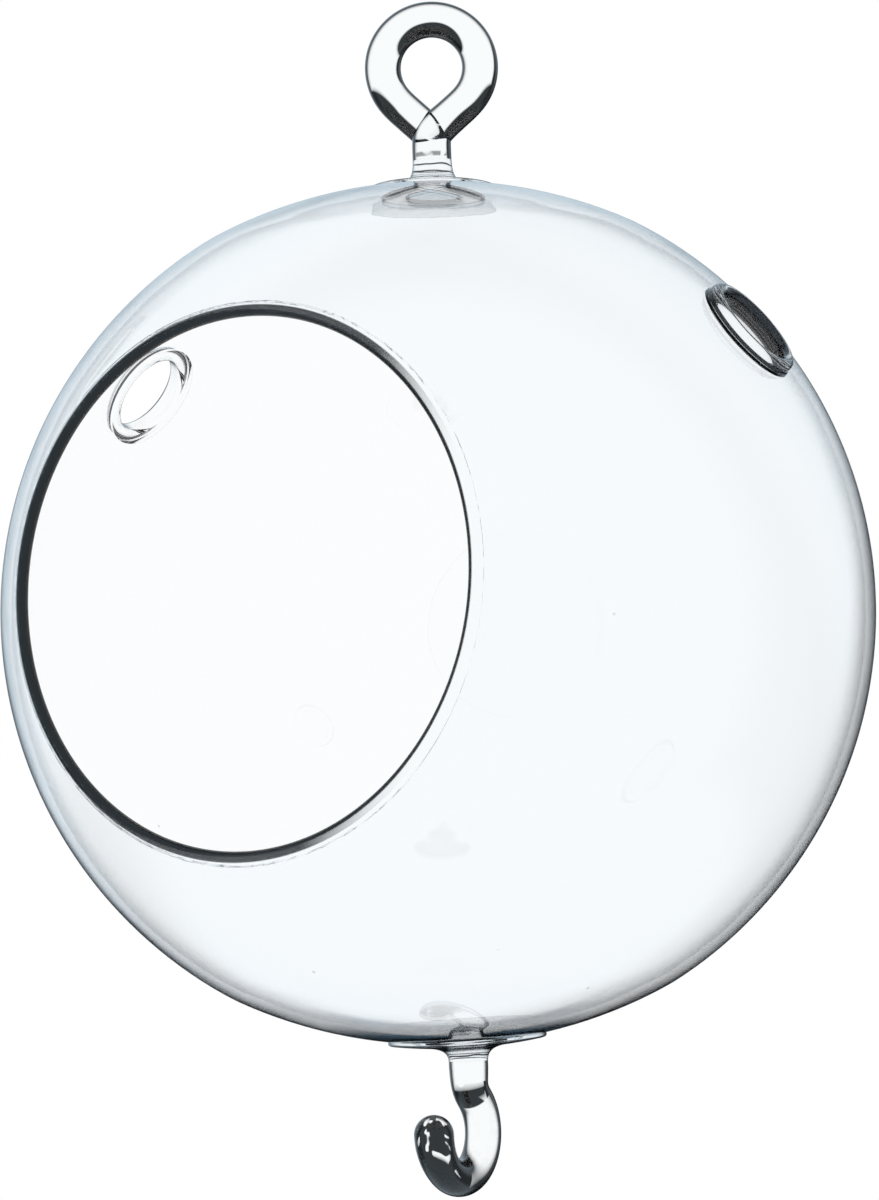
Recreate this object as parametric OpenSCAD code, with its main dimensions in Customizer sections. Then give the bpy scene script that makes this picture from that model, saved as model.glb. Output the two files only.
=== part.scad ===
/* [Globe] */
// Outside diameter of the blown globe
globe_d = 120; // [112:1:130]
// Thickness of the globe's wall
wall = 1.4; // [1.2:0.1:1.8]
// How far the globe's centre lies in front of the hanging axis, towards the mouth
globe_forward = 3.1; // [0:0.1:4]
// How far the globe is pressed in at each pole
pole_press = 0.8; // [0.4:0.1:1]
// Radius of the flatter curve over each pole, against the globe's own radius
pole_curve = 1.1; // [1.06:0.01:1.16]
// Height of the eye's centre above the globe's centre
eye_height = 76; // [75:0.5:80]
/* [Mouth] */
// Clear diameter of the mouth, across the crest of its rounded rim
mouth_d = 70; // [60:0.5:76]
// Upward tilt of the mouth
mouth_tilt = 3; // [0:0.5:8]
// Thickness of the fire-polished rim
rim_d = 1.6; // [1.4:0.1:2]
// Length of wall that the rim takes up, measured towards the mouth's axis
rim_reach = 1.9; // [1.6:0.1:2.4]
/* [Vents] */
// Clear bore of each air vent
vent_bore_d = 11.4; // [9:0.2:11.6]
// Outside diameter of each vent's lip
vent_lip_d = 15.2; // [14.4:0.2:15.4]
// Diameter of the flare where each collar runs into the globe
vent_flare_d = 18.4; // [18.2:0.1:19]
// Thickness that is left at the outer edge of the flare
flare_edge = 0.2; // [0.1:0.05:0.3]
// Height of each lip above the globe
vent_rise = 1.4; // [1.3:0.1:2]
// Turn of the right vent from the mouth, seen from above
vent_right_turn = 96; // [85:0.5:105]
// Turn of the left vent from the mouth, seen from above
vent_left_turn = -90; // [-105:0.5:-80]
// Height of both vents on the globe, as an angle above its equator
vent_tilt = 36; // [30:0.5:45]
/* [Hanging loop] */
// Diameter of the solid glass rod in the loop's and the hook's rings
rod_d = 5; // [4.6:0.1:5.2]
// Diameter of each straight stem, which is gathered a little thicker than its ring
stem_d = 5.4; // [5.3:0.1:6]
// Diameter of the loop, measured along the middle of its rod
loop_d = 13.5; // [13:0.1:15]
// Where the rising rod runs into the loop, as an angle below its right side
loop_start_angle = 50; // [45:1:55]
// Where the free end leaves the loop, as an angle below its left side
loop_end_angle = 46; // [42:1:52]
// Turn of the loop's face from the mouth, seen from above
loop_turn = 30; // [0:1:40]
// Diameter of the pad that fuses the loop to the crown
loop_pad_d = 18.4; // [17:0.2:20]
// Diameter of the loop's mound where it leaves its pad
loop_mound_d = 13.5; // [12:0.1:14]
// Height of the loop's mound above its pad
loop_mound_h = 3.2; // [2.6:0.1:3.4]
/* [Bottom hook] */
// Diameter of the hook, measured along the middle of its rod
hook_d = 12.6; // [12.2:0.1:14]
// How far the hook's centre lies in front of the hanging axis
hook_forward = 3.2; // [2:0.1:3.5]
// Height of the hook's centre below the globe's centre
hook_drop = 71.2; // [71:0.1:74]
// Radius of the bend between the neck and the hook, along the middle of the rod
hook_bend_r = 3.2; // [3:0.1:4]
// Diameter of the pad that fuses the hook to the underside
hook_pad_d = 21.8; // [20:0.2:22]
// Diameter of the hook's mound where it leaves its pad
hook_mound_d = 12; // [11:0.2:14]
// Height of the hook's mound below its pad
hook_mound_h = 1.8; // [1.6:0.1:2]
/* [Pads] */
// Thickness of each pad
pad_t = 0.6; // [0.5:0.1:0.8]

/* [Hidden] */
$fn = 96;
// Segments of the globe's balls
globe_fn = 64;
// Segments of the same balls where they shape a thin pad
pad_fn = 144;
// Segments of a rod, round its section
rod_fn = 48;
globe_r = globe_d / 2;
rod_r = rod_d / 2;
loop_r = loop_d / 2;
hook_r = hook_d / 2;
// The wall stops short of the mouth by the reach of the rim
wall_mid_r = globe_r - wall / 2;
rim_angle = asin(mouth_d / 2 / wall_mid_r) + atan(rim_reach / wall_mid_r);
// Length of a cutter that starts at the globe's centre and passes its wall
cutter_h = 2 * globe_r;
// Height of the poles above the globe's centre
pole_z = globe_r - pole_press;
// Radius of the curve over the poles
cap_r = globe_r * pole_curve;
// Depth that a collar or a mound reaches into the globe before the globe is cut away
bite = 1.5;
// Height of the steep cone that trims a pad's edge, which goes in as far as it goes up
edge_cone_h = 6;
// The lip's rounded edge, in the plane through a vent's axis
lip_r = (vent_lip_d - vent_bore_d) / 4;
lip_x = vent_bore_d / 2 + lip_r;
lip_z = globe_r + vent_rise - lip_r;
// How far the lip stands proud of the collar's wall inside and of its hollow curve outside
lip_proud = 0.03;
// The hollow curve between the lip and the flare's edge
flare_angle = asin(vent_flare_d / 2 / globe_r);
flare_r = fillet_radius(globe_r + flare_edge, flare_angle, lip_x, lip_z, lip_r - lip_proud);
flare_x = (globe_r + flare_edge + flare_r) * sin(flare_angle);
flare_z = (globe_r + flare_edge + flare_r) * cos(flare_angle);
// Where the bend leaves the straight neck, measured from the middle of the hook
hook_bend_z = sqrt(pow(hook_r + hook_bend_r, 2) - pow(hook_forward + hook_bend_r, 2));
hook_start_angle = atan2(hook_bend_z, hook_forward + hook_bend_r);

// Radius of the hollow curve that runs off a ball at angle a and onto a round lip
function fillet_radius(ball_r, a, x, z, r) =
    let (along = x * sin(a) + z * cos(a))
    let (gap = pow(ball_r, 2) + pow(x, 2) + pow(z, 2) - pow(r, 2) - 2 * ball_r * along)
    gap / (2 * (r + along - ball_r));

module glass() {
    color([0.86, 0.93, 0.96, 0.5]) children();
}

// Moves what is drawn round the globe's centre to its place under the hanging eye
module at_globe() {
    translate([0, -globe_forward, -eye_height]) children();
}

// Points +Z at a place on the globe, given its turn from the mouth and its height
module towards(turn, tilt) {
    rotate([0, 0, turn]) rotate([90 - tilt, 0, 0]) children();
}

// Part of a round ring of rod in the XZ plane, drawn anticlockwise as seen from the front
module rod_arc(ring_r, from, sweep) {
    rotate([90, 0, 0])
        rotate([0, 0, from])
            rotate_extrude(angle = sweep)
                translate([ring_r, 0])
                    circle(r = rod_r, $fn = rod_fn);
}

// A straight stem that ends in a rounded knuckle, out of which the ring's rod bends
module stem(from_z, knuckle_z) {
    translate([0, 0, min(from_z, knuckle_z)])
        cylinder(d = stem_d, h = abs(from_z - knuckle_z), $fn = rod_fn);
    translate([0, 0, knuckle_z])
        sphere(d = stem_d, $fn = rod_fn);
}

// The straight end of a rod, from a place on a ring down to the axis under it, with a rounded tip there
module rod_tangent(ring_r, at) {
    reach = abs(ring_r / tan(at));
    rotate([90, 0, 0]) rotate([0, 0, at]) translate([ring_r, 0, 0]) rotate([at > 0 ? -90 : 90, 0, 0]) {
        cylinder(r = rod_r, h = reach, $fn = rod_fn);
        translate([0, 0, reach]) sphere(r = rod_r, $fn = rod_fn);
    }
}

// The large ball whose top is the flatter curve over the upper pole, made bigger or smaller by grow
module cap_ball(grow, fn) {
    translate([0, 0, pole_z - cap_r])
        sphere(r = cap_r + grow, $fn = fn);
}

// The globe's outside, with flatter poles, made bigger or smaller by grow
module pressed_ball(grow) {
    intersection() {
        sphere(r = globe_r + grow, $fn = globe_fn);
        cap_ball(grow, globe_fn);
        mirror([0, 0, 1]) cap_ball(grow, globe_fn);
    }
}

module mouth_cut() {
    towards(0, mouth_tilt)
        cylinder(r1 = 0, r2 = cutter_h * tan(rim_angle), h = cutter_h);
}

module vent_cut(turn) {
    towards(turn, vent_tilt)
        cylinder(d = vent_bore_d, h = cutter_h);
}

module globe() {
    glass() at_globe() difference() {
        pressed_ball(0);
        pressed_ball(-wall);
        mouth_cut();
        vent_cut(vent_right_turn);
        vent_cut(vent_left_turn);
    }
}

// Section of the rim, with +X along the wall towards the mouth's axis
module rim_section() {
    bead_x = rim_reach - rim_d / 2;
    polygon([[0, -wall / 2], [bead_x, -rim_d / 2], [bead_x, rim_d / 2], [0, wall / 2]]);
    translate([bead_x, 0]) circle(d = rim_d);
}

module mouth_rim() {
    glass() at_globe() towards(0, mouth_tilt) rotate_extrude()
        translate([wall_mid_r * sin(rim_angle), wall_mid_r * cos(rim_angle)])
            rotate(180 - rim_angle)
                rim_section();
}

// Section of a collar's flare beside its axis, with the globe's centre at the origin
module flare_section() {
    inside_r = globe_r - bite;
    wall_x = vent_bore_d / 2 + lip_proud;
    difference() {
        polygon([[wall_x, inside_r], [wall_x, lip_z], [lip_x, lip_z], [flare_x, flare_z],
                 [inside_r * sin(flare_angle), inside_r * cos(flare_angle)]]);
        translate([flare_x, flare_z]) circle(r = flare_r);
        circle(r = globe_r, $fn = 720);
    }
}

module vent_collar(turn) {
    glass() at_globe() towards(turn, vent_tilt) {
        rotate_extrude() flare_section();
        rotate_extrude() translate([lip_x, lip_z]) circle(r = lip_r);
    }
}

// A pad that follows the globe's upper pole out to a sloped edge, with the mound that a stem grows from
module foot(pad_d, mound_d, mound_h) {
    // Height of the globe under the pad's edge, and how much a mound widens in each mm down
    edge_z = sqrt(pow(cap_r, 2) - pow(pad_d / 2, 2)) + pole_z - cap_r;
    mound_slope = (mound_d - stem_d) / mound_h;
    difference() {
        union() {
            intersection() {
                cap_ball(pad_t, pad_fn);
                translate([0, globe_forward, edge_z])
                    cylinder(d1 = pad_d + edge_cone_h, d2 = pad_d - edge_cone_h, h = edge_cone_h,
                             center = true);
            }
            translate([0, globe_forward, pole_z + pad_t - bite])
                cylinder(d1 = mound_d + bite * mound_slope, d2 = stem_d, h = mound_h + bite);
        }
        cap_ball(0, pad_fn);
    }
}

module loop_foot() {
    glass() at_globe() foot(loop_pad_d, loop_mound_d, loop_mound_h);
}

// One rod: stem, slant to the right, ring, and the free end that slants back onto the stem's left side
module hanging_loop() {
    stem_base_z = pole_z + pad_t + loop_mound_h - eye_height;
    glass() rotate([0, 0, loop_turn]) {
        stem(stem_base_z, -loop_r / sin(loop_start_angle));
        rod_tangent(loop_r, -loop_start_angle);
        rod_arc(loop_r, -loop_start_angle, 180 + loop_start_angle + loop_end_angle);
        rod_tangent(loop_r, 180 + loop_end_angle);
    }
}

module hook_foot() {
    glass() at_globe() mirror([0, 0, 1]) foot(hook_pad_d, hook_mound_d, hook_mound_h);
}

// One rod: neck, bend to the back, and the ring that comes round to a round tip in front
module bottom_hook() {
    neck_top_z = -eye_height - pole_z - pad_t - hook_mound_h;
    hook_z = -eye_height - hook_drop;
    bend_z = hook_z + hook_bend_z;
    glass() {
        stem(neck_top_z, bend_z);
        rotate([0, 0, 90]) {
            translate([hook_bend_r, 0, bend_z])
                rod_arc(hook_bend_r, 180, hook_start_angle);
            translate([-hook_forward, 0, hook_z]) {
                rod_arc(hook_r, -180, 180 + hook_start_angle);
                translate([-hook_r, 0, 0])
                    sphere(r = rod_r, $fn = rod_fn);
            }
        }
    }
}

globe();
mouth_rim();
vent_collar(vent_left_turn);  // vent_collar_left
vent_collar(vent_right_turn);  // vent_collar_right
loop_foot();
hanging_loop();
hook_foot();
bottom_hook();
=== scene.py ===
# %% [markdown]
# # Hanging glass terrarium
# A lampworker blows the globe, opens a round mouth in its side and melts the cut edge into a rounded rim.
# Two short collars are fused round the air holes, and a solid rod is fused to a pad at the top and the bottom.
# Every piece here is clear glass, so the picture depends mostly on smooth closed shapes and on what the glass
# bends into view. Where solid glass looks dark, shade is painted into its colour.

# %% Load the frame
import math

import bmesh
import bpy
import numpy as np
from mathutils import Matrix, Vector


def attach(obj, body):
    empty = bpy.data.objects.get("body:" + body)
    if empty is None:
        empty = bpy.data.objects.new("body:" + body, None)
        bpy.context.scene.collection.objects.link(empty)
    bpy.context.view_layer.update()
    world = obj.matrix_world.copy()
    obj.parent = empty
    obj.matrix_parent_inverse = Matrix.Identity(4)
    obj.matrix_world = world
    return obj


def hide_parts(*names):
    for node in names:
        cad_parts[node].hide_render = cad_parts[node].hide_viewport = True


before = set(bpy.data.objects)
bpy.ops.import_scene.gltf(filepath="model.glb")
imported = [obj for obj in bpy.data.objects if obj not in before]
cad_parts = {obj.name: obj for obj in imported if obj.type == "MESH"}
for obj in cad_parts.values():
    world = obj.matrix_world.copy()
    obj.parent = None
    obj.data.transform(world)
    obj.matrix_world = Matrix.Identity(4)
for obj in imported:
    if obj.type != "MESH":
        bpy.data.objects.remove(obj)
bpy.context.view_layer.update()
print("Pieces to dress:", ", ".join(sorted(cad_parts)))

# %% [markdown]
# ## Sizes
# All sizes are in millimetres, as in the drawing of the part, and `MM` turns them into metres. The hanging
# eye is the origin. The globe's centre lies 76 mm under it and 3.1 mm in front, so that the globe hangs level.

# %% Sizes and places
MM = 0.001
GLOBE_CENTRE = np.array([0.0, -3.1, -76.0])
GLOBE_R = 59.995
WALL = 1.4
MOUTH_R = 35
WALL_MIDDLE_R = 59.3
RIM_REACH = 1.9
MOUTH_TILT = math.radians(3)
RIM_ANGLE = math.asin(MOUTH_R / WALL_MIDDLE_R) + math.atan(RIM_REACH / WALL_MIDDLE_R)
VENT_TILT = math.radians(36)
VENT_TURNS = {"right": math.radians(96), "left": math.radians(-90)}
VENT_HOLE_R = 7.75
STEM_R = 2.7
ROD_R = 2.5
LOOP_TURN = math.radians(30)


def toward(turn, tilt):
    """The direction from the globe's centre at a turn from the mouth and a height above the equator."""
    return np.array([math.sin(turn) * math.cos(tilt), -math.cos(turn) * math.cos(tilt), math.sin(tilt)])


def spin_to(direction):
    """Turns the Z axis to a direction."""
    return Vector(direction).to_track_quat("Z", "Y").to_matrix().to_4x4()


def axis_matrix(direction, centre):
    """Puts a piece that was turned about Z on an axis through the centre, in metres."""
    return Matrix.Translation(Vector(centre) * MM) @ spin_to(direction)


MOUTH_AXIS = toward(0, MOUTH_TILT)
VENT_AXES = {side: toward(turn, VENT_TILT) for side, turn in VENT_TURNS.items()}
print("Rim starts", round(math.degrees(RIM_ANGLE), 2), "degrees from the mouth's axis")

# %% [markdown]
# ## How blown glass leaves a true ball
# Where hot glass was pushed in to fuse the pads and the collars, the globe sinks a little. The poles are
# flatter over 30 degrees, and the wall dips by 0.3 mm round each air hole. One rule gives the sink at any
# direction, so the globe, the collars and the pads all follow the same surface.

# %% The rule of the surface
POLE_PRESS = 0.8
POLE_SPREAD = math.cos(math.radians(30))
VENT_PRESS = 0.3
VENT_SPREAD = math.cos(math.radians(17))
BLEND = 0.06


def smooth(t):
    """Goes from 0 to 1 with a soft start and a soft end."""
    return t * t * (3 - 2 * t)


def sink(direction):
    """How far the surface lies inside the true ball, in mm, at each unit direction."""
    d = np.asarray(direction, float).reshape(-1, 3)
    pole = POLE_PRESS * (np.abs(d[:, 2]) - POLE_SPREAD) / (1 - POLE_SPREAD)
    pole = (pole + np.sqrt(pole ** 2 + BLEND ** 2)) / 2
    near = [np.clip((d @ axis - VENT_SPREAD) / (1 - VENT_SPREAD), 0, 1) for axis in VENT_AXES.values()]
    return pole + sum(VENT_PRESS * smooth(t) for t in near)


print("Sink at a pole", round(float(sink([0, 0, 1])[0]), 2), "mm, at a vent",
      round(float(sink(VENT_AXES["right"])[0]), 2), "mm")

# %% [markdown]
# ## Small tools for node trees
# These helpers add a node, set its plain values and join its sockets, so that each tree below reads as a list.
# The last three run a finished tree, put its mesh in place and say whether the surface is closed. A closed
# surface matters more for glass than for anything else, because light has to go in and come out again.

# %% Node helpers
MERGE_M = 2e-7


def new_group(name, kind, inputs, outputs):
    """An empty node group with named inputs and outputs, and its two end nodes."""
    tree = bpy.data.node_groups.new(name, kind)
    for title, socket, default in inputs:
        made = tree.interface.new_socket(title, in_out="INPUT", socket_type=socket)
        if default is not None:
            made.default_value = default
    for title, socket in outputs:
        tree.interface.new_socket(title, in_out="OUTPUT", socket_type=socket)
    return tree, tree.nodes.new("NodeGroupInput"), tree.nodes.new("NodeGroupOutput")


def add(tree, kind, settings=None, **wires):
    """Adds a node. Each wire names an input, or in_0, in_1 and so on by number, and gives a socket or a value."""
    node = tree.nodes.new(kind)
    for key, value in (settings or {}).items():
        setattr(node, key, value)
    for key, value in wires.items():
        socket = node.inputs[int(key[3:]) if key.startswith("in_") else key.replace("_", " ").strip()]
        if isinstance(value, bpy.types.NodeSocket):
            tree.links.new(value, socket)
        else:
            socket.default_value = value
    return node


def maths(tree, operation, *values):
    """A math node's result."""
    wires = {f"in_{i}": v for i, v in enumerate(values)}
    return add(tree, "ShaderNodeMath", {"operation": operation}, **wires).outputs[0]


def vector_maths(tree, operation, first, second=None):
    """A vector math node."""
    wires = {"in_0": first} if second is None else {"in_0": first, "in_1": second}
    return add(tree, "ShaderNodeVectorMath", {"operation": operation}, **wires)


def fade(tree, value, start, stop, low=0.0, high=1.0):
    """Goes softly from low to high while the value goes from start to stop."""
    return add(tree, "ShaderNodeMapRange", {"interpolation_type": "SMOOTHSTEP"}, Value=value, From_Min=start,
               From_Max=stop, To_Min=low, To_Max=high).outputs[0]


def grow(name, tree, points, edges, attributes, **inputs):
    """Runs a tree over a line of points and returns the finished piece as a plain mesh, in mm."""
    mesh = bpy.data.meshes.new(name + "_line")
    mesh.from_pydata([tuple(p) for p in points], edges, [])
    for key, values in attributes.items():
        mesh.attributes.new(key, "FLOAT", "POINT").data.foreach_set("value", np.asarray(values, np.float32))
    piece = bpy.data.objects.new(name, mesh)
    bpy.context.scene.collection.objects.link(piece)
    modifier = piece.modifiers.new("Shape", "NODES")
    modifier.node_group = tree
    for item in tree.interface.items_tree:
        if item.item_type == "SOCKET" and item.in_out == "INPUT" and item.name in inputs:
            modifier[item.identifier] = inputs[item.name]
    bpy.context.view_layer.update()
    evaluated = piece.evaluated_get(bpy.context.evaluated_depsgraph_get())
    made = bpy.data.meshes.new_from_object(evaluated)
    piece.modifiers.clear()
    piece.data = made
    bpy.data.meshes.remove(mesh)
    return piece


def settle(piece, matrix, crease):
    """Places a finished mesh in metres, turns its faces outwards and keeps only real corners sharp."""
    piece.data.transform(matrix @ Matrix.Scale(MM, 4))
    shape = bmesh.new()
    shape.from_mesh(piece.data)
    bmesh.ops.remove_doubles(shape, verts=shape.verts, dist=MERGE_M)
    bmesh.ops.recalc_face_normals(shape, faces=shape.faces)
    shape.to_mesh(piece.data)
    shape.free()
    piece.data.shade_smooth()
    piece.data.set_sharp_from_angle(angle=math.radians(crease))
    return piece


def report(piece):
    """Says how large a piece is and whether its surface is closed."""
    shape = bmesh.new()
    shape.from_mesh(piece.data)
    loose = sum(1 for e in shape.edges if len(e.link_faces) != 2)
    volume = shape.calc_volume(signed=True) / MM ** 3
    shape.free()
    print(piece.name, len(piece.data.polygons), "faces", loose, "open edges", round(volume, 1), "mm3")


print("Points closer than", MERGE_M, "m count as one")

# %% [markdown]
# ## Effects that the glass shares
# Real glass is never even. A blown wall swells slowly, a weld leaves rings, and dust settles on both. Solid
# glass also shows dark shapes where it bends or mirrors something dark, and two of the masks paint such shade
# into the colour where the photograph has them. The weld rings are painted dark as shade too. Each effect is
# one group that gives a height or a mask, so that any finish can use it.

# %% Effects that the glass shares


def waviness_group():
    """A height for a slow, uneven swell, as a blown or drawn surface has."""
    finer_step, finer_share = 3.7, 0.12
    tree, start, end = new_group("Glass waviness", "ShaderNodeTree",
                                 [("Size", "NodeSocketFloat", 70.0), ("Amount", "NodeSocketFloat", 1.0)],
                                 [("Height", "NodeSocketFloat")])
    place = add(tree, "ShaderNodeTexCoord").outputs["Object"]
    slow = add(tree, "ShaderNodeTexNoise", Vector=place, Scale=start.outputs["Size"], Detail=1.0, Roughness=0.4)
    finer = add(tree, "ShaderNodeTexNoise", Vector=place, Detail=0.0,
                Scale=maths(tree, "MULTIPLY", start.outputs["Size"], finer_step))
    both = maths(tree, "MULTIPLY_ADD", finer.outputs[0], finer_share, slow.outputs[0])
    tree.links.new(maths(tree, "MULTIPLY", both, start.outputs["Amount"]), end.inputs["Height"])
    return tree


def dust_group():
    """A mask of sparse fine specks."""
    tree, start, end = new_group("Dust specks", "ShaderNodeTree",
                                 [("Scale", "NodeSocketFloat", 160.0), ("Share", "NodeSocketFloat", 0.06)],
                                 [("Mask", "NodeSocketFloat")])
    place = add(tree, "ShaderNodeTexCoord").outputs["Object"]
    cells = add(tree, "ShaderNodeTexVoronoi", Vector=place, Scale=start.outputs["Scale"])
    dot = fade(tree, cells.outputs["Distance"], 0.045, 0.02)
    lot = add(tree, "ShaderNodeSeparateColor", in_0=cells.outputs["Color"]).outputs[0]
    kept = maths(tree, "LESS_THAN", lot, start.outputs["Share"])
    tree.links.new(maths(tree, "MULTIPLY", dot, kept), end.inputs["Mask"])
    return tree


def turned_shade_group():
    """A mask of painted shade on the faces that look a given way, with a slightly uneven edge.

    With Marked at 1 it keeps only the faces that the piece's own painted shade attribute marks.
    """
    unevenness = 0.16
    tree, start, end = new_group("Painted shade on faces turned one way", "ShaderNodeTree",
                                 [("Toward", "NodeSocketVector", (0.0, 0.0, -1.0)),
                                  ("From", "NodeSocketFloat", 0.22), ("To", "NodeSocketFloat", 0.30),
                                  ("Marked", "NodeSocketFloat", 0.0)],
                                 [("Mask", "NodeSocketFloat")])
    place = add(tree, "ShaderNodeTexCoord").outputs["Object"]
    patchy = add(tree, "ShaderNodeTexNoise", Vector=place, Scale=240.0, Detail=0.0).outputs[0]
    normal = add(tree, "ShaderNodeNewGeometry").outputs["Normal"]
    looks = vector_maths(tree, "DOT_PRODUCT", normal, start.outputs["Toward"]).outputs["Value"]
    shift = maths(tree, "MULTIPLY", maths(tree, "SUBTRACT", patchy, 0.5), unevenness)
    mask = fade(tree, maths(tree, "ADD", looks, shift), start.outputs["From"], start.outputs["To"])
    painted_shade = add(tree, "ShaderNodeAttribute", {"attribute_name": "painted_shade"}).outputs["Fac"]
    allowed = maths(tree, "ADD", painted_shade, maths(tree, "SUBTRACT", 1.0, start.outputs["Marked"]))
    allowed = maths(tree, "MINIMUM", maths(tree, "MAXIMUM", allowed, 0.0), 1.0)
    tree.links.new(maths(tree, "MULTIPLY", mask, allowed), end.inputs["Mask"])
    return tree


def weld_ring_shade_group():
    """A mask of painted shade in uneven rings round the globe's centre, where a weld leaves rings in the glass."""
    wander, crest_low, crest_high = 9.0, 0.9, 0.95
    tree, start, end = new_group("Weld rings", "ShaderNodeTree",
                                 [("Step", "NodeSocketFloat", 0.0009), ("Share", "NodeSocketFloat", 0.35)],
                                 [("Mask", "NodeSocketFloat")])
    place = add(tree, "ShaderNodeTexCoord").outputs["Object"]
    patchy = add(tree, "ShaderNodeTexNoise", Vector=place, Scale=160.0, Detail=2.0).outputs[0]
    offset = vector_maths(tree, "SUBTRACT", place, tuple(GLOBE_CENTRE * MM)).outputs[0]
    away = vector_maths(tree, "LENGTH", offset).outputs["Value"]
    turns = maths(tree, "MULTIPLY", maths(tree, "DIVIDE", away, start.outputs["Step"]), 2 * math.pi)
    wave = maths(tree, "SINE", maths(tree, "ADD", turns, maths(tree, "MULTIPLY", patchy, wander)))
    mask = fade(tree, wave, maths(tree, "SUBTRACT", crest_low, start.outputs["Share"]), crest_high)
    tree.links.new(mask, end.inputs["Mask"])
    return tree


def rod_shade_group():
    """A mask of painted shade on parts of a rod, with clear streaks left in it as painted glints. Its own attribute
    says where.
    """
    streak_from, streak_to, left_in_streak = 0.57, 0.63, 0.05
    tree, start, end = new_group("Painted shade on rods", "ShaderNodeTree", [("Size", "NodeSocketFloat", 330.0)],
                                 [("Mask", "NodeSocketFloat")])
    share = add(tree, "ShaderNodeAttribute", {"attribute_name": "painted_shade"}).outputs["Fac"]
    place = add(tree, "ShaderNodeTexCoord").outputs["Object"]
    bent = add(tree, "ShaderNodeTexNoise", Vector=place, Scale=start.outputs["Size"], Detail=1.0, Distortion=1.5)
    # The clear streaks in the painted shade stand in for glints, as painted highlights.
    streak = fade(tree, bent.outputs[0], streak_from, streak_to, 1.0, left_in_streak)
    tree.links.new(maths(tree, "MULTIPLY", share, streak), end.inputs["Mask"])
    return tree


WAVINESS = waviness_group()
DUST = dust_group()
TURNED_SHADE = turned_shade_group()
WELD_RING_SHADE = weld_ring_shade_group()
ROD_SHADE = rod_shade_group()
print("Shared effects:", ", ".join(group.name for group in (WAVINESS, DUST, TURNED_SHADE, WELD_RING_SHADE, ROD_SHADE)))

# %% [markdown]
# ## Glass
# Borosilicate glass bends light with an index of about 1.47. It looks nearly white where it is met straight
# on, and it darkens to a cool grey where it is seen edge on, because there the light travels a long way in
# the wall and the rest is turned aside. Here that darkening is painted shade, laid into the glass's colour by
# the angle at which it is seen. One function makes all five finishes. The blown wall stays pale up to its
# outline, while solid rod, lips and rim are painted nearly black at their edges. Transmission stays plain
# glass, and only its colour is graded, so the pieces still bend and mirror what is round them.

# %% The glass material
GLASS_IOR = 1.47
CLEAR_COLOUR = (0.985, 0.992, 0.995, 1)
DUST_COLOUR = (0.55, 0.56, 0.57, 1)
DUST_ROUGHNESS = 0.45
SHADOW_COLOUR = (0.93, 0.95, 0.96, 1)
SOAK_COLOUR = (0.45, 0.66, 0.80, 1)
RIM_SEAM = math.cos(RIM_ANGLE)
RIM_DEPTH = math.radians(1.84)
RIM_FREE_END = math.cos(RIM_ANGLE - RIM_DEPTH)


def from_centre(tree):
    """The direction from the globe's centre, as a vector socket."""
    place = add(tree, "ShaderNodeTexCoord").outputs["Object"]
    offset = vector_maths(tree, "SUBTRACT", place, tuple(GLOBE_CENTRE * MM)).outputs[0]
    return vector_maths(tree, "NORMALIZE", offset).outputs[0]


def along_axis(tree, axis):
    """The cosine of the angle between an axis and the direction from the globe's centre."""
    return vector_maths(tree, "DOT_PRODUCT", from_centre(tree), tuple(axis)).outputs["Value"]


def facing_of(tree, normal):
    """0 where a normal points at the viewer, 1 where it is seen edge on."""
    return add(tree, "ShaderNodeLayerWeight", Blend=0.5, Normal=normal).outputs["Facing"]


def painted_bottom_shade(tree, facing):
    """Painted shade: a thin dark band along the outline under the globe."""
    lowest = fade(tree, along_axis(tree, (0, 0, -1)), 0.89, 0.97)
    return maths(tree, "MULTIPLY", lowest, fade(tree, facing, 0.765, 0.82))


def rim_painted_shade(tree, grade):
    """Paints shade where the rim is seen at a slant and on its free edge, and a clear highlight strip by the seam.
    """
    slant_from, slant_to, darkest = 0.05, 0.22, 0.995
    edge_on = fade(tree, facing_of(tree, from_centre(tree)), slant_from, slant_to, 0.0, darkest)
    past_strip = fade(tree, along_axis(tree, MOUTH_AXIS), RIM_SEAM + 0.0068, RIM_SEAM + 0.0092)
    grade = maths(tree, "MULTIPLY", maths(tree, "MAXIMUM", grade, edge_on), past_strip)
    line = fade(tree, along_axis(tree, MOUTH_AXIS), RIM_FREE_END - 0.0048, RIM_FREE_END - 0.0030)
    return maths(tree, "MAXIMUM", grade, line)


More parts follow.
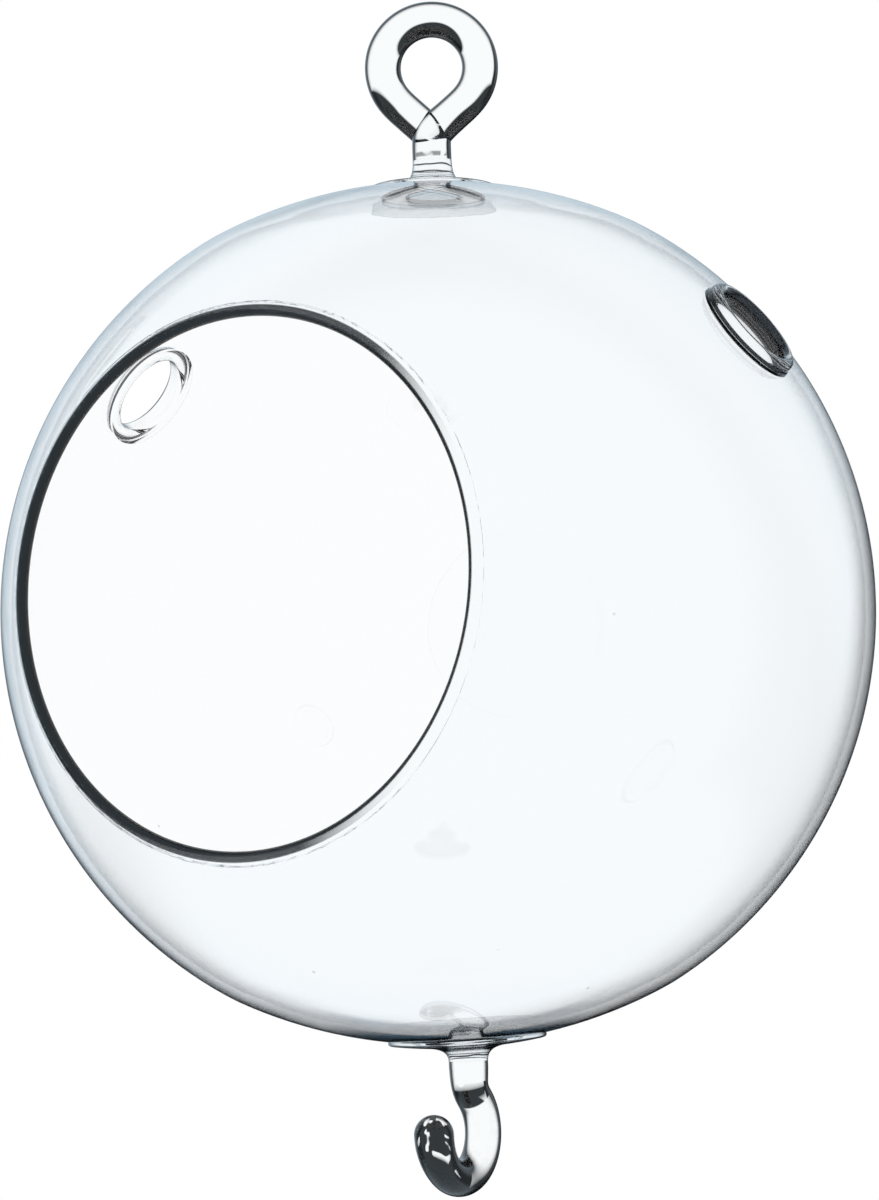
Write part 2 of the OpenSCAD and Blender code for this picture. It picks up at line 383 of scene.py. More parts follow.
def glass(name, edge, edge_from, edge_to, wave_size, wave_depth, soak, bottom_shade=False, is_rim=False, masks=()):
    """Clear glass whose colour darkens towards the given edge colour, as painted shade, where it is seen edge on."""
    material = bpy.data.materials.new(name)
    material.use_nodes = True
    tree = material.node_tree
    tree.nodes.clear()
    out = tree.nodes.new("ShaderNodeOutputMaterial")
    wave = add(tree, "ShaderNodeGroup", {"node_tree": WAVINESS}, Size=wave_size, Amount=1.0)
    dust = add(tree, "ShaderNodeGroup", {"node_tree": DUST}, Scale=150.0, Share=0.05)
    bump = add(tree, "ShaderNodeBump", Strength=1.0, Distance=wave_depth, Height=wave.outputs["Height"])
    facing = facing_of(tree, bump.outputs[0])
    # Painted shade: the colour darkens by the viewing angle, and each mask below adds more painted shade.
    grade = fade(tree, facing, edge_from, edge_to)
    if bottom_shade:
        grade = maths(tree, "MAXIMUM", grade, painted_bottom_shade(tree, facing))
    if is_rim:
        grade = rim_painted_shade(tree, grade)
    outside = maths(tree, "SUBTRACT", 1.0, add(tree, "ShaderNodeNewGeometry").outputs["Backfacing"])
    for kind, settings in masks:
        mask = add(tree, "ShaderNodeGroup", {"node_tree": kind}, **settings).outputs["Mask"]
        grade = maths(tree, "MAXIMUM", grade, maths(tree, "MULTIPLY", mask, outside))
    colour = add(tree, "ShaderNodeMix", {"data_type": "RGBA"}, in_0=grade, in_6=CLEAR_COLOUR, in_7=(*edge, 1))
    dusty = add(tree, "ShaderNodeMix", {"data_type": "RGBA"}, in_0=dust.outputs["Mask"],
                in_6=colour.outputs[2], in_7=DUST_COLOUR)
    rough = add(tree, "ShaderNodeMapRange", Value=dust.outputs["Mask"], To_Min=0.0, To_Max=DUST_ROUGHNESS)
    shader = add(tree, "ShaderNodeBsdfPrincipled", Base_Color=dusty.outputs[2], Roughness=rough.outputs[0],
                 IOR=GLASS_IOR, Metallic=0.0, Normal=bump.outputs[0])
    shader.inputs["Transmission Weight"].default_value = 1.0
    clear = add(tree, "ShaderNodeBsdfTransparent", Color=SHADOW_COLOUR)
    shadow = add(tree, "ShaderNodeLightPath").outputs["Is Shadow Ray"]
    mixed = add(tree, "ShaderNodeMixShader", in_0=shadow, in_1=shader.outputs[0], in_2=clear.outputs[0])
    tree.links.new(mixed.outputs[0], out.inputs["Surface"])
    volume = add(tree, "ShaderNodeVolumeAbsorption", Color=SOAK_COLOUR, Density=soak)
    tree.links.new(volume.outputs[0], out.inputs["Volume"])
    return material


# Directions for painted shade: the right-hand sides of the rods, and the collar's lip where it faces the front.
BEHIND_RIGHT = (0.845, 0.534, 0.0)
TO_FRONT = (0.289, -0.921, -0.264)
# Painted shade on the globe: a dark band along its outline underneath.
BLOWN = glass("blown_glass", edge=(0.006, 0.018, 0.034), edge_from=0.71, edge_to=0.97,
              wave_size=45.0, wave_depth=0.00006, soak=20.0, bottom_shade=True)
# Painted shade on the rim, with a clear strip by the seam as a painted highlight.
RIM = glass("rim_glass", edge=(0.0003, 0.0003, 0.0004), edge_from=0.30, edge_to=0.70,
            wave_size=90.0, wave_depth=0.00003, soak=14.0, is_rim=True)
# Painted shade on the collars: the marked lip band and foot line go dark where they face the front.
COLLAR = glass("collar_glass", edge=(0.0002, 0.0002, 0.0003), edge_from=0.58, edge_to=0.84,
               wave_size=120.0, wave_depth=0.00003, soak=14.0,
               masks=[(TURNED_SHADE, {"Toward": TO_FRONT, "From": 0.02, "To": 0.12, "Marked": 1.0})])
# Painted shade on the pads: dark edges and dark weld rings.
FOOT = glass("foot_glass", edge=(0.0006, 0.0009, 0.0012), edge_from=0.45, edge_to=0.80,
             wave_size=130.0, wave_depth=0.00004, soak=14.0, masks=[(WELD_RING_SHADE, {"Step": 0.0011, "Share": 0.45})])
# Painted shade on the rods: dark undersides, dark right-hand sides and their own marked dark parts.
ROD = glass("rod_glass", edge=(0.0001, 0.0001, 0.0001), edge_from=0.30, edge_to=0.52,
            wave_size=120.0, wave_depth=0.00004, soak=10.0,
            masks=[(TURNED_SHADE, {"From": 0.24, "To": 0.32}),
                   (TURNED_SHADE, {"Toward": BEHIND_RIGHT, "From": 0.70, "To": 0.78}), (ROD_SHADE, {})])
print("Glass finishes:", ", ".join(finish.name for finish in (BLOWN, RIM, COLLAR, FOOT, ROD)))

# %% [markdown]
# ## Two trees that make every piece
# A lathe tree turns a drawn section about an axis, as a lampworker turns the piece in the flame. A sweep tree
# runs a round section along a bent line, which is what a drawn rod is. Both end in a closed plain mesh. A drawn
# section or line is exact and easy to change, and a mesh that is modelled by hand isn't.

# %% The lathe and sweep trees
MERGE_MM = 0.0004


def finish_tree(tree, geometry, start, end):
    """Every tree ends in real geometry with its material set."""
    real = add(tree, "GeometryNodeRealizeInstances", Geometry=geometry)
    dressed = add(tree, "GeometryNodeSetMaterial", Geometry=real.outputs[0], Material=start.outputs["Glass"])
    tree.links.new(dressed.outputs[0], end.inputs[0])


def lathe_tree():
    """Turns a line of points, radius along X and height along Z, into a closed surface about Z."""
    tree, start, end = new_group("Lathe", "GeometryNodeTree",
                                 [("Section", "NodeSocketGeometry", None), ("Steps", "NodeSocketInt", 96),
                                  ("Glass", "NodeSocketMaterial", None)],
                                 [("Piece", "NodeSocketGeometry")])
    section, steps = start.outputs["Section"], start.outputs["Steps"]
    count = add(tree, "GeometryNodeAttributeDomainSize", Geometry=section).outputs["Point Count"]
    across = maths(tree, "ADD", steps, 1.0)
    grid = add(tree, "GeometryNodeMeshGrid", Vertices_X=count, Vertices_Y=across)
    index = tree.nodes.new("GeometryNodeInputIndex").outputs[0]
    row = maths(tree, "FLOOR", maths(tree, "DIVIDE", maths(tree, "ADD", index, 0.5), across))
    column = maths(tree, "SUBTRACT", index, maths(tree, "MULTIPLY", row, across))
    angle = maths(tree, "DIVIDE", maths(tree, "MULTIPLY", column, 2 * math.pi), steps)
    drawn = tree.nodes.new("GeometryNodeInputPosition").outputs[0]
    point = add(tree, "GeometryNodeSampleIndex", {"data_type": "FLOAT_VECTOR"}, Geometry=section, Value=drawn,
                Index=row).outputs[0]
    part = add(tree, "ShaderNodeSeparateXYZ", Vector=point)
    along_x = maths(tree, "MULTIPLY", part.outputs[0], maths(tree, "COSINE", angle))
    along_y = maths(tree, "MULTIPLY", part.outputs[0], maths(tree, "SINE", angle))
    place = add(tree, "ShaderNodeCombineXYZ", X=along_x, Y=along_y, Z=part.outputs[2])
    placed = add(tree, "GeometryNodeSetPosition", Geometry=grid.outputs[0], Position=place.outputs[0])
    # The section's painted shade marks are carried onto the surface.
    drawn_shade = add(tree, "GeometryNodeInputNamedAttribute", {"data_type": "FLOAT"}, Name="painted_shade").outputs[0]
    painted_shade = add(tree, "GeometryNodeSampleIndex", {"data_type": "FLOAT"}, Geometry=section, Value=drawn_shade,
                Index=row).outputs[0]
    marked = add(tree, "GeometryNodeStoreNamedAttribute", {"data_type": "FLOAT", "domain": "POINT"},
                 Geometry=placed.outputs[0], Name="painted_shade", Value=painted_shade)
    closed = add(tree, "GeometryNodeMergeByDistance", Geometry=marked.outputs[0], Distance=MERGE_MM)
    finish_tree(tree, closed.outputs[0], start, end)
    return tree


def sweep_tree():
    """Runs a round section along a line of points. The line's own attribute rod_radius gives its thickness."""
    tree, start, end = new_group("Rod", "GeometryNodeTree",
                                 [("Line", "NodeSocketGeometry", None), ("Sides", "NodeSocketInt", 64),
                                  ("Fuse", "NodeSocketBool", False), ("Glass", "NodeSocketMaterial", None)],
                                 [("Piece", "NodeSocketGeometry")])
    thick = add(tree, "GeometryNodeInputNamedAttribute", {"data_type": "FLOAT"}, Name="rod_radius").outputs[0]
    curve = add(tree, "GeometryNodeMeshToCurve", Mesh=start.outputs["Line"]).outputs[0]
    ring = add(tree, "GeometryNodeCurvePrimitiveCircle", Resolution=start.outputs["Sides"], Radius=1.0)
    rod = add(tree, "GeometryNodeCurveToMesh", Curve=curve, Profile_Curve=ring.outputs[0], Scale=thick,
              Fill_Caps=True).outputs[0]
    closed = add(tree, "GeometryNodeMergeByDistance", Geometry=rod, Distance=MERGE_MM)
    fused = add(tree, "GeometryNodeMeshBoolean", {"operation": "UNION", "solver": "EXACT"})
    tree.links.new(closed.outputs[0], fused.inputs["Mesh 2"])
    fused.inputs["Self Intersection"].default_value = True
    chosen = add(tree, "GeometryNodeSwitch", {"input_type": "GEOMETRY"}, Switch=start.outputs["Fuse"],
                 False_=closed.outputs[0], True_=fused.outputs[0])
    finish_tree(tree, chosen.outputs[0], start, end)
    return tree


LATHE = lathe_tree()
SWEEP = sweep_tree()
ROD_SIDES = 72


def chain(points):
    """The edges that join a list of points in order."""
    return [(i, i + 1) for i in range(len(points) - 1)]


def turned(name, section, steps, material, painted_shade=None):
    """A closed section of (radius, height) points, turned about Z.

    Its last point meets its first, or both lie on the axis.
    """
    points = [(x, 0.0, z) for x, z in section]
    marks = {"painted_shade": np.zeros(len(points)) if painted_shade is None else painted_shade}
    return grow(name, LATHE, points, chain(points), marks, Steps=steps, Glass=material)


def drawn_rod(name, points, radii, painted_shade, material, fuse=False):
    """A rod along a line of points, with a thickness and an amount of painted shade at each."""
    marks = {"rod_radius": radii, "painted_shade": painted_shade}
    return grow(name, SWEEP, points, chain(points), marks, Sides=ROD_SIDES, Fuse=fuse, Glass=material)


def arc(cx, cz, r, start, stop, count):
    """Points on a circle in the drawing's plane, angles in degrees."""
    return [(cx + r * math.cos(math.radians(a)), cz + r * math.sin(math.radians(a)))
            for a in np.linspace(start, stop, count)]


print("Trees:", LATHE.name, "and", SWEEP.name)

# %% [markdown]
# ## The blown globe
# The globe is a thin shell, 120 mm across with a 1.4 mm wall. Its section is drawn once and turned about the
# axis of the mouth, then each point sinks by the rule above, and two round holes are cut for the collars.
# Turning it about the mouth's axis, and not about the vertical one, gives the mouth a clean round edge.

# %% The globe
MOUTH_STEPS = 224
VENT_STEPS = 192


def cut_hole(piece, side, axis):
    """Cuts a round hole for a collar straight through the wall."""
    low, high = 50, 66
    cutter = turned("cutter_" + side, [(0, low), (VENT_HOLE_R, low), (VENT_HOLE_R, high), (0, high)], VENT_STEPS,
                    BLOWN)
    cutter.data.transform(spin_to(axis))
    shape = bmesh.new()
    shape.from_mesh(cutter.data)
    bmesh.ops.recalc_face_normals(shape, faces=shape.faces)
    shape.to_mesh(cutter.data)
    shape.free()
    cut = piece.modifiers.new("Hole", "BOOLEAN")
    cut.operation, cut.solver, cut.object = "DIFFERENCE", "MANIFOLD", cutter
    bpy.context.view_layer.update()
    made = bpy.data.meshes.new_from_object(piece.evaluated_get(bpy.context.evaluated_depsgraph_get()))
    piece.modifiers.clear()
    piece.data = made
    bpy.data.objects.remove(cutter)


def globe_piece():
    count, crease = 120, 30
    inner_r = GLOBE_R - WALL
    angles = np.linspace(math.pi, RIM_ANGLE, count)
    outer = [(GLOBE_R * math.sin(a), GLOBE_R * math.cos(a)) for a in angles]
    inner = [(inner_r * math.sin(a), inner_r * math.cos(a)) for a in angles[::-1]]
    outer[0] = (0.0, -GLOBE_R)
    inner[-1] = (0.0, -inner_r)
    piece = turned("globe_shell", outer + inner, MOUTH_STEPS, BLOWN)
    piece.data.transform(spin_to(MOUTH_AXIS))
    co = np.empty(len(piece.data.vertices) * 3)
    piece.data.vertices.foreach_get("co", co)
    co = co.reshape(-1, 3)
    unit = co / np.linalg.norm(co, axis=1)[:, None]
    co = co - unit * sink(unit)[:, None]
    piece.data.vertices.foreach_set("co", co.ravel())
    for side, axis in VENT_AXES.items():
        cut_hole(piece, side, axis)
    return settle(piece, Matrix.Translation(Vector(GLOBE_CENTRE) * MM), crease)


globe = globe_piece()
report(globe)

# %% [markdown]
# ## The mouth's rim
# The cut edge was melted until it drew back into a bead, a little thicker than the wall. It starts exactly
# where the globe's wall stops and ends in a half round. It has as many steps round the mouth as the globe has,
# so that their faces line up along the seam. With different counts the seam showed teeth.

# %% The rim


def rim_piece():
    bead_r, bead_u, crease = 0.8, 1.1, 40
    out = np.array([math.sin(RIM_ANGLE), math.cos(RIM_ANGLE)])
    base = out * (GLOBE_R - WALL / 2)
    along = np.array([-math.cos(RIM_ANGLE), math.sin(RIM_ANGLE)])
    side = [(u, WALL / 2 + (bead_r - WALL / 2) * smooth(u / bead_u)) for u in np.linspace(0, bead_u, 10)]
    half_turn = np.linspace(math.pi / 2, -math.pi / 2, 33)
    round_end = [(bead_u + bead_r * math.cos(a), bead_r * math.sin(a)) for a in half_turn]
    flat = side[:-1] + round_end + [(u, -v) for u, v in side[-2::-1]]
    flat += [(0.0, 0.0), flat[0]]
    section = [tuple(base + u * along + v * out) for u, v in flat]
    piece = turned("mouth_rim_bead", section, MOUTH_STEPS, RIM)
    return settle(piece, axis_matrix(MOUTH_AXIS, GLOBE_CENTRE), crease)


rim = rim_piece()
report(rim)

# %% [markdown]
# ## The vent collars
# Each air hole has a short collar with a rounded lip, which stiffens the hole and leaves no sharp edge. Its
# section runs from the seam in the wall over the lip, down the bore and back along the globe's inner face, as
# one closed line. The marks along it say where the photograph shows black glass, and there shade is painted
# nearly black into the colour: a thin line at the foot, and a band inside the lip that is wider on the right
# collar than on the left one.

# %% The collars


def surface_height(rho, inner=False):
    """Height of the sunk surface over a vent's axis, at a distance from that axis."""
    ball = GLOBE_R - (WALL if inner else 0)
    a = math.asin(rho / ball)
    t = min(max((math.cos(a) - VENT_SPREAD) / (1 - VENT_SPREAD), 0), 1)
    return (ball - VENT_PRESS * smooth(t)) * math.cos(a)


def collar_piece(side):
    bore, lip_r, lip_x, lip_z = 5.7, 0.95, 6.65, 59.85
    gap, bend_r, crease = 0.004, 0.7, 40
    seam = VENT_HOLE_R - gap
    top = surface_height(seam)
    lip = arc(lip_x, lip_z, lip_r, -8, 180, 36)
    start, stop = np.array([seam, top]), np.array(lip[0])
    handle = np.array([stop[0] - 0.02, top + 0.12])
    foot = [tuple((1 - t) ** 2 * start + 2 * (1 - t) * t * handle + t ** 2 * stop)
            for t in np.linspace(0, 1, 12)[:-1]]
    bend = arc(bore + bend_r, surface_height(bore + bend_r, True) + bend_r, bend_r, 180, 262, 12)
    under = [(x, surface_height(x, True)) for x in np.linspace(bore + 1.0, seam, 12)]
    section = foot + lip + [(bore, 59.5), (bore, 59.1)] + bend + under
    section += [(seam, (top + under[-1][1]) / 2), tuple(start)]
    dark_from = lip_z + {"right": -0.4, "left": 0.4}[side]

    # Marks painted shade: a dark band inside the lip and a thin dark line at the foot.
    def is_painted_shade(x, z):
        inside = x < lip_x + 0.35 and z > dark_from
        foot_line = x > lip_x + 0.5 and top + 0.02 < z < top + 0.5
        return inside or foot_line

    painted_shade = [1.0 if is_painted_shade(x, z) else 0.0 for x, z in section]
    piece = turned("vent_collar_" + side + "_lip", section, VENT_STEPS, COLLAR, painted_shade)
    return settle(piece, axis_matrix(VENT_AXES[side], GLOBE_CENTRE), crease)


collars = {side: collar_piece(side) for side in VENT_AXES}
for collar in collars.values():
    report(collar)

# %% [markdown]
# ## Pads and mounds
# The rod is joined to the globe through a pad of glass. The pad follows the globe, and a hollow mound rises
# from it into the rod, which is the shape a joint takes when it is heated and pulled slightly. The hanging axis
# is 3.1 mm behind the globe's centre, so each pad is drawn about its own axis and then bent onto the globe.

# %% The pads


def skin_table(pole, widest):
    """The sunk globe's height at each distance from its vertical axis."""
    across = np.linspace(0, widest, 601)
    height = np.full(len(across), pole)
    for _ in range(8):
        d = np.stack([across, 0 * across, height], 1)
        r = GLOBE_R - sink(d / np.linalg.norm(d, axis=1)[:, None])
        height = np.sqrt(r * r - across * across)
    return across, height


def foot_piece(name, pad_r, mound_r, mound_h, up):
    pad_t, edge, gap, widest, steps, crease = 0.6, 0.3, 0.004, 30, 144, 40
    pole = GLOBE_R - float(sink([0, 0, 1])[0])
    across, height = skin_table(pole, widest)

    def skin(x):
        return float(np.interp(x, across, height))

    neck_z = pole + pad_t + mound_h
    start = np.array([STEM_R, neck_z])
    stop = np.array([mound_r + 0.8, skin(mound_r + 0.8) + pad_t])
    handle_a = start + np.array([0.05, -mound_h * 0.75])
    handle_b = stop + np.array([-1.9, 0.30])
    section = [(0.0, neck_z)]
    for t in np.linspace(0, 1, 24):
        p = (1 - t) ** 3 * start + 3 * (1 - t) ** 2 * t * handle_a + 3 * (1 - t) * t * t * handle_b + t ** 3 * stop
        section.append(tuple(p))
    section += [(x, skin(x) + pad_t) for x in np.linspace(mound_r + 1.1, pad_r - edge, 10)]
    section += arc(pad_r - edge, skin(pad_r - edge) + pad_t - edge, edge, 75, -10, 8)
    section += [(x, skin(x) + gap) for x in np.linspace(pad_r - 0.05, 0.0, 30)]
    section[-1] = (0.0, section[-1][1])
    piece = turned(name, section, steps, FOOT)
    shift = -GLOBE_CENTRE[1]
    for v in piece.data.vertices:
        x, y, z = v.co
        here = math.hypot(x, y)
        if here < widest:
            wide = math.hypot(x, y + shift)
            share = min(max((neck_z - z) / (neck_z - pole - pad_t), 0), 1)
            v.co.z += (skin(wide) - skin(here)) * smooth(share)
    flip = Matrix.Identity(4) if up else Matrix.Scale(-1, 4, Vector((0, 0, 1)))
    place = Matrix.Translation(Vector((0, 0, GLOBE_CENTRE[2] * MM)))
    return settle(piece, place @ flip, crease)


loop_foot = foot_piece("loop_foot_pad", pad_r=9.0, mound_r=4.6, mound_h=3.2, up=True)
hook_foot = foot_piece("hook_foot_pad", pad_r=10.9, mound_r=4.9, mound_h=1.8, up=False)
report(loop_foot)
report(hook_foot)

# %% [markdown]
# ## The hanging loop
# One rod rises from the mound, bends to the right, goes round anticlockwise and comes back down the left of
# its own stem, where it was pressed on while hot. The rod is a little thicker in the stem. Where the end lies
# against the stem the two are joined into one surface, as the fused glass is.

# %% The loop


def resample(points, radii, step):
    """Even steps along a line, with the thickness and the length at each."""
    points, radii = np.asarray(points, float), np.asarray(radii, float)
    length = np.r_[0, np.cumsum(np.linalg.norm(np.diff(points, axis=0), axis=1))]
    where = np.linspace(0, length[-1], int(length[-1] / step) + 1)
    made = np.stack([np.interp(where, length, points[:, k]) for k in range(points.shape[1])], 1)
    return made, np.interp(where, length, radii), where


def soften(values, times):
    """Averages neighbours and keeps both ends."""
    v = np.array(values, float)
    for _ in range(times):
        v[1:-1] = (v[:-2] + 2 * v[1:-1] + v[2:]) / 4
    return v


def round_tip(points, radii, tip_r):
    """Closes a rod's last end with a half ball."""
    points, radii = np.asarray(points), np.array(radii, float)
    along = points[-1] - points[-2]
    along /= np.linalg.norm(along)
    quarter = np.linspace(0, math.pi / 2, 20)[1:]
    extra = [points[-1] + along * tip_r * math.sin(a) for a in quarter]
    thin = [radii[-1] * max(math.cos(a), 0.0005) for a in quarter]
    return np.vstack([points, extra]), np.r_[radii, thin]


def loop_line():
    """The stem, a straight run to the ring, the ring, and its straight free end."""
    ring_r, eye_x, rise, fall, free_end = 6.83, 0.42, 50, 226, 4.9
    stem_low, stem_high = -13.0, -9.2
    line = [(0.0, z) for z in np.linspace(stem_low, stem_high, 20)]
    ring = arc(eye_x, 0, ring_r, -rise, fall, 260)
    line += [tuple((1 - t) * np.array(line[-1]) + t * np.array(ring[0])) for t in np.linspace(0, 1, 24)[1:-1]]
    line += ring
    along = np.array([-math.sin(math.radians(fall)), math.cos(math.radians(fall))])
    line += [tuple(np.array(ring[-1]) + along * t) for t in np.linspace(0, free_end, 24)[1:]]
    return line


def loop_piece():
    stem_points, set_back, back_from, back_over = 24, 1.0, 13, 9
    weld_z, weld_half, weld_shade, crease = -12.4, 0.35, 0.9, 32
    line = loop_line()
    radii = [STEM_R if i < stem_points else ROD_R for i in range(len(line))]
    line, radii, where = resample(line, radii, 0.22)
    line = soften(line, 36)
    radii = soften(radii, 90)
    radii[:8] = STEM_R
    behind = np.clip((where - where[-1] + back_from) / back_over, 0, 1)
    points = np.stack([line[:, 0], set_back * smooth(behind), line[:, 1]], 1)
    points, radii = round_tip(points, radii, ROD_R)
    # Painted shade: the weld where the free end lies on the stem is marked nearly black.
    weld = np.abs(points[:, 2] - weld_z) < weld_half
    piece = drawn_rod("hanging_loop_rod", points, radii, weld_shade * weld, ROD, fuse=True)
    return settle(piece, Matrix.Rotation(LOOP_TURN, 4, "Z"), crease)


loop = loop_piece()
report(loop)

# %% [markdown]
# ## The bottom hook
# The second rod leaves the lower mound, bends to the back, and comes round under itself to a rounded tip in
# front. Its opening lets a cord or a second globe be hung on. The tip is a little thicker, because the end of
# a rod swells when it is melted round. The tip and the weld under the neck are painted nearly black as shade.

# %% The hook


def hook_line():
    """The neck, its bend to the back and the open ring."""
    bend_r, ring_r, forward, neck_z, centre_z = 3.2, 6.3, 3.2, -137.6, -147.2
    bend_z = math.sqrt((ring_r + bend_r) ** 2 - (forward + bend_r) ** 2)
    start = math.degrees(math.atan2(bend_z, forward + bend_r))
    line = [(0.0, z) for z in np.linspace(neck_z, centre_z + bend_z, 12)]
    line += arc(bend_r, centre_z + bend_z, bend_r, 180, 180 + start, 30)[1:]
    line += arc(-forward, centre_z, ring_r, start, -180, 240)[1:]
    return line


def hook_piece():
    stem_end_z, tip_swell, tip_length, crease = -140.2, 0.22, 6, 32
    weld_z, weld_fade, weld_y, tip_y, tip_fade, clear_y = -141.4, 0.7, -2.0, -4.6, 0.8, -4.2
    line = hook_line()
    radii = [STEM_R if z > stem_end_z else ROD_R for y, z in line]
    line, radii, where = resample(line, radii, 0.2)
    line = soften(line, 12)
    radii = soften(radii, 60)
    radii[:6] = STEM_R
    radii = radii + tip_swell * smooth(np.clip((where - where[-1] + tip_length) / tip_length, 0, 1))
    points = np.stack([np.zeros(len(line)), line[:, 0], line[:, 1]], 1)
    points, radii = round_tip(points, radii, radii[-1])
    y, z = points[:, 1], points[:, 2]
    # Painted shade: the weld under the neck and the tip half are marked dark, and the clear shank is marked so that
    # it takes no painted underside shade.
    weld = np.clip(1.6 - np.abs(z - weld_z) / weld_fade, 0, 1) * (y > weld_y)
    tip = np.clip((tip_y - y) / tip_fade, 0, 1)
    clear = (y > clear_y) * (weld + tip < 0.01)
    piece = drawn_rod("bottom_hook_rod", points, radii, np.maximum(weld, tip) - clear, ROD)
    return settle(piece, Matrix.Identity(4), crease)


hook = hook_piece()
report(hook)

# %% [markdown]
# ## Each piece takes its place
# The pieces above stand for the plain solids of the frame and ride on its one rigid body. All the joints
# between them are fused glass, so nothing moves against anything else.

# %% Hand the pieces over
PIECES = [(globe, "globe", "blown_glass"), (rim, "mouth_rim", "rim_glass"),
          (collars["right"], "vent_collar_right", "collar_glass"),
          (collars["left"], "vent_collar_left", "collar_glass"),
          (loop_foot, "loop_foot", "foot_glass"), (loop, "hanging_loop", "rod_glass"),
          (hook_foot, "hook_foot", "foot_glass"), (hook, "bottom_hook", "rod_glass")]
for piece, node, slot_name in PIECES:
    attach(piece, "root")
    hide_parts(node)
print(len(PIECES), "pieces stand for", len({node for _, node, _ in PIECES}), "solids")

# %% [markdown]
# ## Light and surroundings
# Clear glass is photographed in front of a bright sheet, which shows through every piece. So whatever the glass
# bends into view is white here. What it mirrors comes from a dimmer room, with two soft boxes high behind the
# globe, a pale table under it and a bright side where the camera stands. Glass that is seen edge on mirrors
# what lies nearly straight behind it, so two dark places just below the line of sight keep the outlines dark.
# One world holds all of this, since it can give each kind of ray a brightness of its own.

# %% The surroundings
LEFT_BOX = (-0.765, 0.466, 0.446)
RIGHT_BOX = (-0.092, 0.891, 0.446)
DARK_RIGHT = (-0.235, 0.940, -0.249)
DARK_BELOW = (-0.531, 0.841, -0.105)
IN_FRONT = (0.533, -0.843, -0.061)
ROOM = 0.26
SEEN_THROUGH = 1.0
ON_MATT = 0.75
MIRRORED_HUE = (0.72, 0.88, 1.0, 1)


def surroundings():
    world = bpy.data.worlds.new("Bright sheet")
    bpy.context.scene.world = world
    world.use_nodes = True
    tree = world.node_tree
    tree.nodes.clear()
    out = tree.nodes.new("ShaderNodeOutputWorld")
    direction = add(tree, "ShaderNodeTexCoord").outputs["Generated"]
    height = add(tree, "ShaderNodeSeparateXYZ", Vector=direction).outputs[2]

    def patch(axis, start, stop, low, high):
        """A soft round patch about a direction, by the cosine of the angle to it."""
        beside = vector_maths(tree, "DOT_PRODUCT", direction, axis).outputs["Value"]
        return fade(tree, beside, start, stop, low, high)

    left = patch(LEFT_BOX, 0.64, 0.87, 0.0, 0.74)
    right = patch(RIGHT_BOX, 0.64, 0.87, 0.0, 0.55)
    table = fade(tree, height, -0.42, -0.65, 0.0, 0.72)
    mirrored = maths(tree, "ADD", ROOM, maths(tree, "MAXIMUM", maths(tree, "MAXIMUM", left, right), table))
    mirrored = maths(tree, "MULTIPLY", mirrored, patch(DARK_RIGHT, 0.84, 0.96, 1.0, 0.12))
    mirrored = maths(tree, "MULTIPLY", mirrored, patch(DARK_BELOW, 0.93, 0.985, 1.0, 0.15))
    mirrored = maths(tree, "MAXIMUM", mirrored, patch(IN_FRONT, -0.30, 0.20, 0.0, 0.95))
    path = add(tree, "ShaderNodeLightPath")
    glossy, through, camera = (path.outputs[f"Is {kind} Ray"] for kind in ("Glossy", "Transmission", "Camera"))
    shiny = maths(tree, "MULTIPLY", glossy, maths(tree, "SUBTRACT", 1.0, through))
    matt = maths(tree, "SUBTRACT", 1.0, maths(tree, "MAXIMUM", glossy, through))
    seen = maths(tree, "MULTIPLY", SEEN_THROUGH, through)
    level = maths(tree, "ADD", seen, maths(tree, "MULTIPLY", mirrored, shiny))
    level = maths(tree, "ADD", level, maths(tree, "MULTIPLY", ON_MATT, matt))
    level = maths(tree, "ADD", camera, maths(tree, "MULTIPLY", level, maths(tree, "SUBTRACT", 1.0, camera)))
    hue = add(tree, "ShaderNodeMix", {"data_type": "RGBA"}, in_0=shiny, in_6=(1.0, 1.0, 1.0, 1),
              in_7=MIRRORED_HUE)
    back = add(tree, "ShaderNodeBackground", Color=hue.outputs[2], Strength=level)
    tree.links.new(back.outputs[0], out.inputs["Surface"])


surroundings()
print("The room that the glass mirrors has brightness", ROOM)

# %% [markdown]
# ## The floor and the lamps
# The globe hangs above a plain pale floor. It fades out towards its edge, so that it meets the white sheet
# without a line, and it can't be seen from below. Two soft lamps give it the globe's faint shadow. The glass
# mirrors neither the lamps nor the floor, because the surroundings above already say what it mirrors.

# %% The floor and the lamps
FLOOR_Z = -0.30
FLOOR_R = 1.2


def floor_piece():
    count = 96
    turns = [2 * math.pi * i / count for i in range(count)]
    ring = [(FLOOR_R * math.cos(a), FLOOR_R * math.sin(a), FLOOR_Z) for a in turns]
    mesh = bpy.data.meshes.new("floor")
    mesh.from_pydata([(0, 0, FLOOR_Z)] + ring, [], [(0, 1 + i, 1 + (i + 1) % count) for i in range(count)])
    floor = bpy.data.objects.new("floor", mesh)
    bpy.context.scene.collection.objects.link(floor)
    material = bpy.data.materials.new("floor")
    material.use_nodes = True
    tree = material.node_tree
    tree.nodes.clear()
    out = tree.nodes.new("ShaderNodeOutputMaterial")
    matt = add(tree, "ShaderNodeBsdfDiffuse", Color=(0.9, 0.9, 0.9, 1))
    gone = add(tree, "ShaderNodeBsdfTransparent")
    place = add(tree, "ShaderNodeTexCoord").outputs["Object"]
    part = add(tree, "ShaderNodeSeparateXYZ", Vector=place)
    squares = [maths(tree, "POWER", part.outputs[k], 2.0) for k in (0, 1)]
    far = maths(tree, "SQRT", maths(tree, "ADD", *squares))
    behind = add(tree, "ShaderNodeNewGeometry").outputs["Backfacing"]
    clear = maths(tree, "MAXIMUM", fade(tree, far, 0.25, 1.15), behind)
    mixed = add(tree, "ShaderNodeMixShader", in_0=clear, in_1=matt.outputs[0], in_2=gone.outputs[0])
    tree.links.new(mixed.outputs[0], out.inputs["Surface"])
    mesh.materials.append(material)
    floor.visible_glossy = floor.visible_transmission = False
    return floor


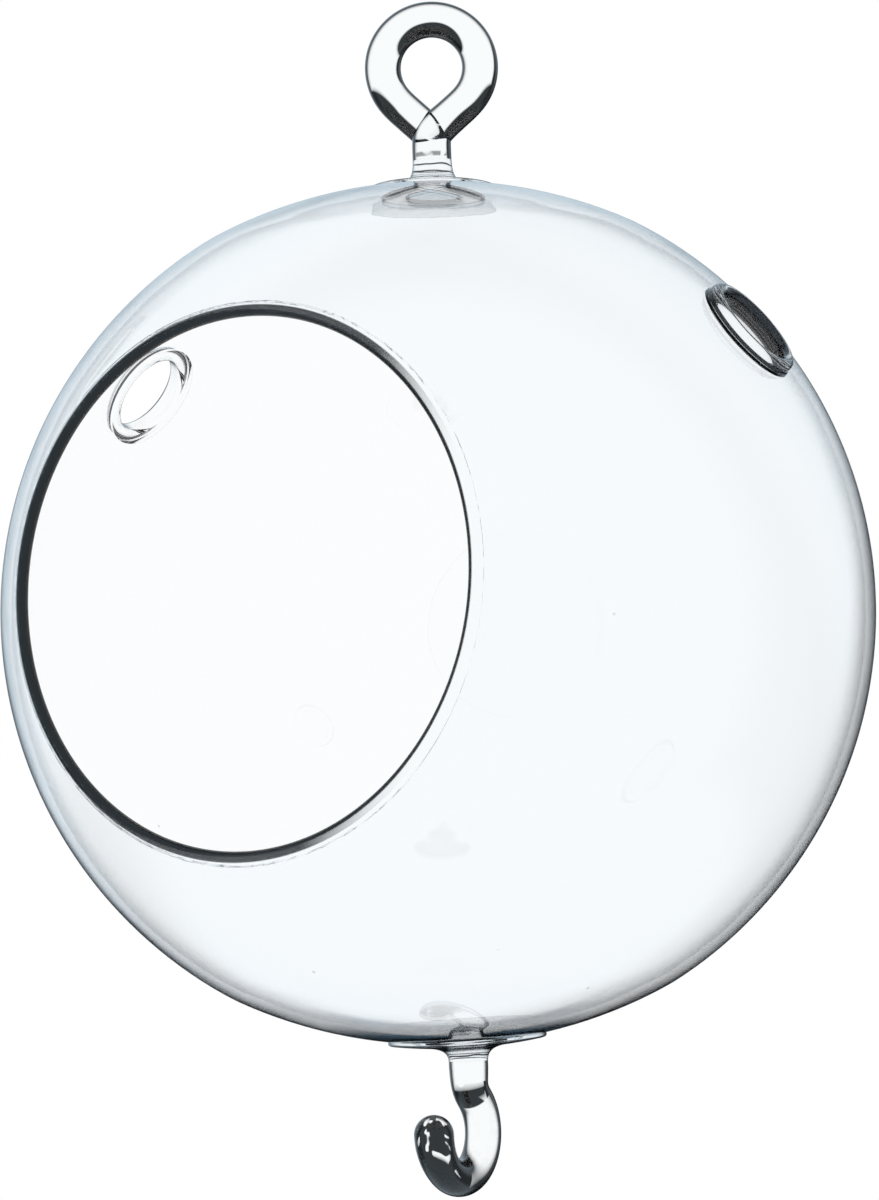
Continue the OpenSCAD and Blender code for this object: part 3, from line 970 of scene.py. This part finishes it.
def lamp(name, place, size, power):
    """A square soft lamp that looks at the globe."""
    target = (0, 0, -0.08)
    light = bpy.data.lights.new(name, "AREA")
    light.shape, light.size, light.size_y, light.energy = "RECTANGLE", size, size, power
    made = bpy.data.objects.new(name, light)
    made.location = place
    made.rotation_mode = "QUATERNION"
    made.rotation_quaternion = (Vector(target) - Vector(place)).to_track_quat("-Z", "Y")
    made.visible_glossy = made.visible_transmission = False
    bpy.context.scene.collection.objects.link(made)


floor = floor_piece()
lamp("key_softbox", place=(-0.7, -0.8, 0.75), size=0.35, power=5.0)
lamp("fill_softbox", place=(0.9, 0.5, 0.6), size=0.4, power=3.0)
print("Floor at", FLOOR_Z, "m with", len(floor.data.polygons), "faces")

# %% [markdown]
# ## The camera
# A long lens looks at the globe from the right of its mouth and from slightly below, and leans a little. The
# angles come from the mouth's ellipse, the globe's outline and the hanging axis in the photograph. The distance
# shows least in it: three were tried, each with angles of its own, and 0.7 m was kept.

# %% The camera
FOCAL_PX = 5090.0
PHOTO_HEIGHT_PX = 1200.0
SENSOR_MM = 36.0
CENTRE_SHIFT_PX = (1.2, 12.8)


def photo_camera():
    distance, rise, roll, turn = 0.7, math.radians(-3.5), math.radians(-2.3), math.radians(32.3)
    spin = Matrix.Rotation(turn, 3, "Z")
    back = spin @ Vector((0, -math.cos(rise), math.sin(rise)))
    right = spin @ Vector((1, 0, 0))
    up = back.cross(right)
    side = right * math.cos(roll) + up * math.sin(roll)
    top = up * math.cos(roll) - right * math.sin(roll)
    lens = bpy.data.cameras.new("camera")
    lens.sensor_width, lens.sensor_fit = SENSOR_MM, "AUTO"
    lens.lens = FOCAL_PX * SENSOR_MM / PHOTO_HEIGHT_PX
    lens.shift_x, lens.shift_y = (shift / PHOTO_HEIGHT_PX for shift in CENTRE_SHIFT_PX)
    lens.clip_start, lens.clip_end = 0.01, 20.0
    camera = bpy.data.objects.new("camera", lens)
    place = Vector(GLOBE_CENTRE) * MM + back * distance
    axes = Matrix((side, top, back)).transposed().to_4x4()
    camera.matrix_world = Matrix.Translation(place) @ axes
    bpy.context.scene.collection.objects.link(camera)
    bpy.context.scene.camera = camera
    return camera


camera = photo_camera()
bpy.context.scene.view_settings.view_transform = "Standard"
print("Lens", round(camera.data.lens, 1), "mm")
